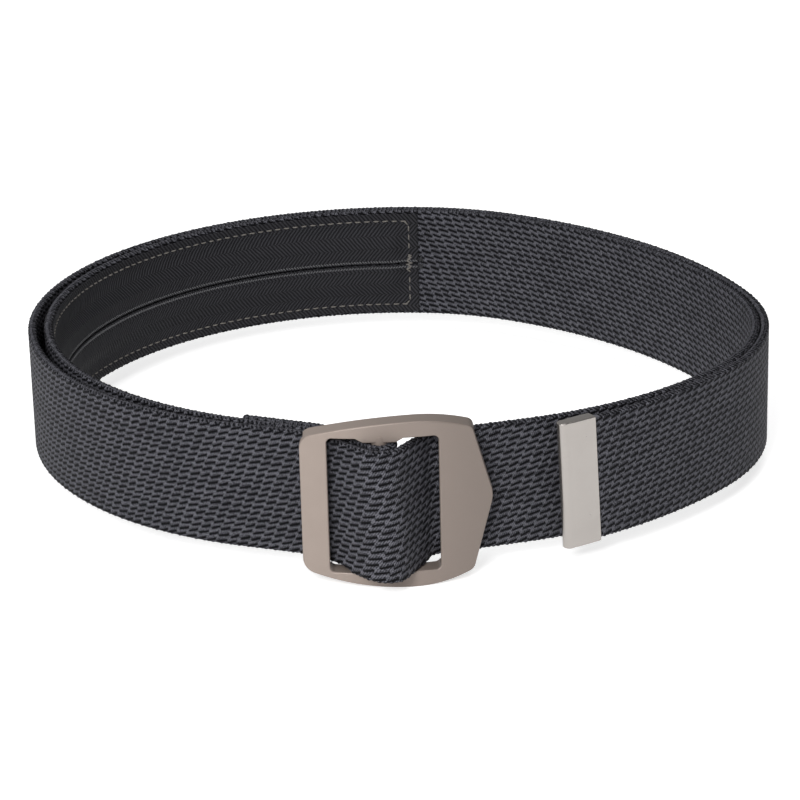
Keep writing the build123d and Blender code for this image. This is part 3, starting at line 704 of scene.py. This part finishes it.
# ---------------------------------------------------------------- materials
def material(name):
    """New material and its Principled shader."""
    made = bpy.data.materials.new(name)
    made.use_nodes = True
    return made, made.node_tree, made.node_tree.nodes["Principled BSDF"]


def use_group(tree, group, **values):
    """Group node in a material, with its inputs set by name."""
    node = tree.nodes.new("ShaderNodeGroup")
    node.node_tree = group
    for label, value in values.items():
        node.inputs[label].default_value = value
    return node


def mix_colour(tree, factor, first, second):
    """Colour mixed from two colours or sockets by a mask."""
    node = tree.nodes.new("ShaderNodeMix")
    node.data_type = "RGBA"
    tree.links.new(factor, node.inputs["Factor"])
    for socket, value in ((node.inputs[6], first), (node.inputs[7], second)):
        if isinstance(value, tuple):
            socket.default_value = (*value, 1.0)
        else:
            tree.links.new(value, socket)
    return node.outputs[2]


def bump(tree, shader, height, distance, strength=1.0):
    """Bump from a height socket into the shader's normal."""
    node = tree.nodes.new("ShaderNodeBump")
    node.inputs["Strength"].default_value = strength
    node.inputs["Distance"].default_value = distance
    tree.links.new(height, node.inputs["Height"])
    tree.links.new(node.outputs[0], shader.inputs["Normal"])


def webbing_material(name, group, gap, body, light, **values):
    """Woven charcoal yarn with painted light in its colour: near-black painted shade between the floats, lighter on
    their backs as a painted highlight.
    """
    made, tree, shader = material(name)
    weave = use_group(tree, group, **values)
    low = calc(tree, "SMOOTH_MIN", calc(tree, "MULTIPLY", weave.outputs["Tone"], 1.9), 1.0, 0.2)
    high = calc(tree, "POWER", calc(tree, "MINIMUM", weave.outputs["Tone"], 1.2), 2.2)
    colour = mix_colour(tree, high, mix_colour(tree, low, gap, body), light)
    tree.links.new(colour, shader.inputs["Base Color"])
    rough = calc(tree, "SUBTRACT", 0.8, calc(tree, "MULTIPLY", weave.outputs["Fuzz"], 0.25))
    tree.links.new(rough, shader.inputs["Roughness"])
    shader.inputs["Specular IOR Level"].default_value = 0.12
    bump(tree, shader, weave.outputs["Height"], 0.0006)
    return made


def tape_material(group):
    """Herringbone zip tape, charcoal."""
    made, tree, shader = material("tape_cloth")
    cloth = use_group(tree, group)
    tone = calc(tree, "MINIMUM", cloth.outputs["Tone"], 1.0)
    colour = mix_colour(tree, tone, (0.005, 0.005, 0.006), (0.046, 0.046, 0.052))
    tree.links.new(colour, shader.inputs["Base Color"])
    shader.inputs["Roughness"].default_value = 0.78
    shader.inputs["Specular IOR Level"].default_value = 0.15
    bump(tree, shader, cloth.outputs["Height"], 0.00025)
    return made


def thread_material(name, dark, light):
    """Twisted thread: slanted ply lines from Object coordinates and fine fibre noise."""
    made, tree, shader = material(name)
    where = tree.nodes.new("ShaderNodeTexCoord").outputs["Object"]
    wave = tree.nodes.new("ShaderNodeTexWave")
    wave.bands_direction = "DIAGONAL"
    wave.inputs["Scale"].default_value = 900.0
    wave.inputs["Distortion"].default_value = 1.5
    tree.links.new(where, wave.inputs["Vector"])
    fibre = tree.nodes.new("ShaderNodeTexNoise")
    fibre.inputs["Scale"].default_value = 6000.0
    tree.links.new(where, fibre.inputs["Vector"])
    mask = calc(tree, "ADD", calc(tree, "MULTIPLY", wave.outputs["Fac"], 0.6),
                calc(tree, "MULTIPLY", fibre.outputs[0], 0.5))
    tree.links.new(mix_colour(tree, mask, dark, light), shader.inputs["Base Color"])
    shader.inputs["Roughness"].default_value = 0.7
    bump(tree, shader, mask, 0.00008)
    return made


def coil_material():
    """Dark nylon coil, satin, with faint streaks."""
    made, tree, shader = material("coil_nylon")
    where = tree.nodes.new("ShaderNodeTexCoord").outputs["Object"]
    streak = tree.nodes.new("ShaderNodeTexNoise")
    streak.inputs["Scale"].default_value = 2500.0
    tree.links.new(where, streak.inputs["Vector"])
    colour = mix_colour(tree, streak.outputs[0], (0.012, 0.012, 0.014), (0.05, 0.05, 0.055))
    tree.links.new(colour, shader.inputs["Base Color"])
    rough = calc(tree, "ADD", calc(tree, "MULTIPLY", streak.outputs[0], 0.2), 0.3)
    tree.links.new(rough, shader.inputs["Roughness"])
    return made


def metal_material(name, group, dark, light, metallic, rough, grain_depth, painted_shade_span=None, **values):
    """Plated or blasted metal: a base colour clouded between two tones, roughness varied by streaks,
    a fine grain bump. With a pair of places along X given, the colour falls smoothly to two thirds
    from the first to the second: painted shade on the side turned away from the light."""
    made, tree, shader = material(name)
    satin = use_group(tree, group, **values)
    mask = calc(tree, "ADD", calc(tree, "MULTIPLY", satin.outputs["Cloud"], 0.7),
                calc(tree, "MULTIPLY", satin.outputs["Grain"], 0.3))
    colour = mix_colour(tree, mask, dark, light)
    # Painted shade: the colour darkens along X, as on a side turned away from the key lamp.
    if painted_shade_span:
        span = tree.nodes.new("ShaderNodeMapRange")
        span.interpolation_type = "SMOOTHSTEP"
        span.inputs["From Min"].default_value, span.inputs["From Max"].default_value = painted_shade_span
        split = tree.nodes.new("ShaderNodeSeparateXYZ")
        tree.links.new(tree.nodes.new("ShaderNodeTexCoord").outputs["Object"], split.inputs[0])
        tree.links.new(split.outputs[0], span.inputs["Value"])
        shaded_tone = tuple(0.66 * (a + b) / 2 for a, b in zip(dark, light))
        colour = mix_colour(tree, span.outputs[0], colour, shaded_tone)
    tree.links.new(colour, shader.inputs["Base Color"])
    shader.inputs["Metallic"].default_value = metallic
    varied = calc(tree, "ADD", calc(tree, "MULTIPLY", satin.outputs["Streak"], 0.14), rough - 0.07)
    tree.links.new(varied, shader.inputs["Roughness"])
    bump(tree, shader, satin.outputs["Grain"], grain_depth)
    return made


# ---------------------------------------------------------------- build
rng = np.random.default_rng(7)
weave = weave_group()
herringbone = herringbone_group()
satin = satin_group()

# Webbing and selvedge colours: gap is painted shade, light is a painted highlight on the floats, body is the charcoal
# yarn.
webbing = webbing_material("webbing_yarn", weave, (0.001, 0.001, 0.002), (0.020, 0.020, 0.0245), (0.165, 0.165, 0.19))
selvedge_yarn = webbing_material("selvedge_yarn", weave, (0.001, 0.001, 0.002), (0.020, 0.020, 0.025),
                                 (0.10, 0.10, 0.115), Pitch=0.0012, Float=0.0014, Slant=0.9, Lag=0.5)
tape_cloth = tape_material(herringbone)
light_thread = thread_material("seam_thread", (0.10, 0.092, 0.083), (0.24, 0.22, 0.20))
dark_thread = thread_material("dark_thread", (0.02, 0.02, 0.022), (0.07, 0.07, 0.075))
zip_thread = thread_material("zip_thread", (0.05, 0.05, 0.054), (0.17, 0.17, 0.18))
nylon = coil_material()
buckle_low, buckle_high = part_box("buckle_frame")
# The buckle's colour darkens towards its right end: painted shade.
champagne = metal_material("buckle_satin", satin, (0.325, 0.266, 0.232), (0.365, 0.30, 0.262), 0.25, 0.46, 0.00002,
                           painted_shade_span=(buckle_low.x, buckle_high.x))
nickel = metal_material("tip_nickel", satin, (0.36, 0.335, 0.315), (0.42, 0.392, 0.37), 0.9, 0.24, 0.00001)
black_metal = metal_material("slider_lacquer", satin, (0.018, 0.018, 0.020), (0.034, 0.034, 0.037), 0.5, 0.36, 0.00001)


def dress(obj, mat, body, slot, *nodes):
    """Gives a new piece its material and body, and hides the CAD nodes it stands for. The slot is not used."""
    obj.data.materials.clear()
    obj.data.materials.append(mat)
    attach(obj, body)
    if nodes:
        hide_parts(*nodes)
    return obj


def dress_node(node, mat, edge):
    """Gives a CAD node its material, and rounds its sharp edges a little."""
    obj = frame["nodes"][node]
    obj.data.materials.clear()
    obj.data.materials.append(mat)
    bevel = obj.modifiers.new("edge", "BEVEL")
    bevel.width = edge * MM
    bevel.segments = 2
    bevel.limit_method = "ANGLE"
    bevel.angle_limit = math.radians(40)
    bevel.harden_normals = True


dress(make_strap(), webbing, "strap", "webbing", "strap_webbing")
dress(make_selvedge(1), selvedge_yarn, "strap", "webbing")
dress(make_selvedge(-1), selvedge_yarn, "strap", "webbing")
dress(make_tape(1), tape_cloth, "strap", "zip_tape", "zip_tape_upper")
dress(make_tape(-1), tape_cloth, "strap", "zip_tape", "zip_tape_lower")
dress(make_coil(1), nylon, "strap", "zip_coil", "zip_coil_upper")
dress(make_coil(-1), nylon, "strap", "zip_coil", "zip_coil_lower")
dress(make_panel_stitches(rng), light_thread, "strap", "panel_thread", "panel_thread")
dress(make_zip_stitches(rng), zip_thread, "strap", "zip_tape")
dress(make_fold_stitches(), dark_thread, "strap", "dark_thread", "fold_thread")
dress_node("buckle_frame", champagne, 0.15)
dress(make_tip(), nickel, "strap", "nickel", "strap_tip")
dress_node("zip_slider", black_metal, 0.08)
dress_node("zip_pull", black_metal, 0.08)


# ---------------------------------------------------------------- floor, light and camera
def make_floor():
    """Pale floor under the belt, white to the camera and to mirrors, that keeps a soft shadow."""
    half = FLOOR_HALF
    verts = np.array([[-half, -half, 0], [half, -half, 0], [half, half, 0], [-half, half, 0]])
    floor = add_mesh("floor", verts, [[0, 1, 2, 3]], smooth=False)
    made, tree, shader = material("pale_floor")
    shader.inputs["Base Color"].default_value = (0.86, 0.86, 0.86, 1)
    shader.inputs["Roughness"].default_value = 1.0
    shader.inputs["Specular IOR Level"].default_value = 0.0
    path = tree.nodes.new("ShaderNodeLightPath")
    seen = calc(tree, "MAXIMUM", path.outputs["Is Camera Ray"], path.outputs["Is Glossy Ray"])
    seen = calc(tree, "MAXIMUM", seen, path.outputs["Is Transmission Ray"])
    shader.inputs["Emission Color"].default_value = (1, 1, 1, 1)
    tree.links.new(calc(tree, "MULTIPLY", seen, 0.6), shader.inputs["Emission Strength"])
    floor.data.materials.append(made)


def make_world():
    """Pale surroundings, brighter above and to the left than to the right, as between a large window
    and a grey wall: strength is a clamped straight ramp of the direction's lean that way."""
    world = bpy.data.worlds.new("studio")
    bpy.context.scene.world = world
    world.use_nodes = True
    tree = world.node_tree
    where = tree.nodes.new("ShaderNodeTexCoord").outputs["Generated"]
    split = tree.nodes.new("ShaderNodeSeparateXYZ")
    tree.links.new(where, split.inputs[0])
    lean = calc(tree, "ADD", calc(tree, "MULTIPLY", split.outputs[0], -0.9),
                calc(tree, "MULTIPLY", split.outputs[2], 0.3))
    ramp = calc(tree, "ADD", calc(tree, "MULTIPLY", lean, 0.5), 0.5)
    ramp = calc(tree, "MINIMUM", calc(tree, "MAXIMUM", ramp, 0.0), 1.0)
    background = tree.nodes["Background"]
    background.inputs["Color"].default_value = (1, 1, 1, 1)
    strength = calc(tree, "ADD", calc(tree, "MULTIPLY", ramp, 0.36), 0.12)
    tree.links.new(strength, background.inputs["Strength"])


def add_lamp(name, place, size, power):
    """Square area lamp turned towards the belt."""
    lamp = bpy.data.lights.new(name, "AREA")
    lamp.size = size
    lamp.energy = power
    obj = bpy.data.objects.new(name, lamp)
    obj.location = place
    aim = np.array([0, -0.03, 0.03]) - np.array(place)
    obj.rotation_mode = "QUATERNION"
    obj.rotation_quaternion = Vector(aim).to_track_quat("-Z", "Y")
    bpy.context.scene.collection.objects.link(obj)


def make_camera():
    """Long lens a little above the belt, looking along +Y, rolled slightly."""
    data = bpy.data.cameras.new("camera")
    data.lens = CAMERA_LENS
    data.sensor_width = 36.0
    camera = bpy.data.objects.new("camera", data)
    tilt = Matrix.Rotation(math.radians(90 - CAMERA_DOWN_DEG), 4, "X")
    roll = Matrix.Rotation(math.radians(CAMERA_ROLL_DEG), 4, "Z")
    camera.matrix_world = Matrix.Translation(CAMERA_PLACE) @ tilt @ roll
    bpy.context.scene.collection.objects.link(camera)
    bpy.context.scene.camera = camera


make_floor()
make_world()
add_lamp("key", (-0.42, -1.34, 0.85), 0.5, 16.0)
add_lamp("top", (0.3, -0.3, 1.6), 0.9, 7.0)
make_camera()

bpy.context.scene.view_settings.view_transform = "Standard"
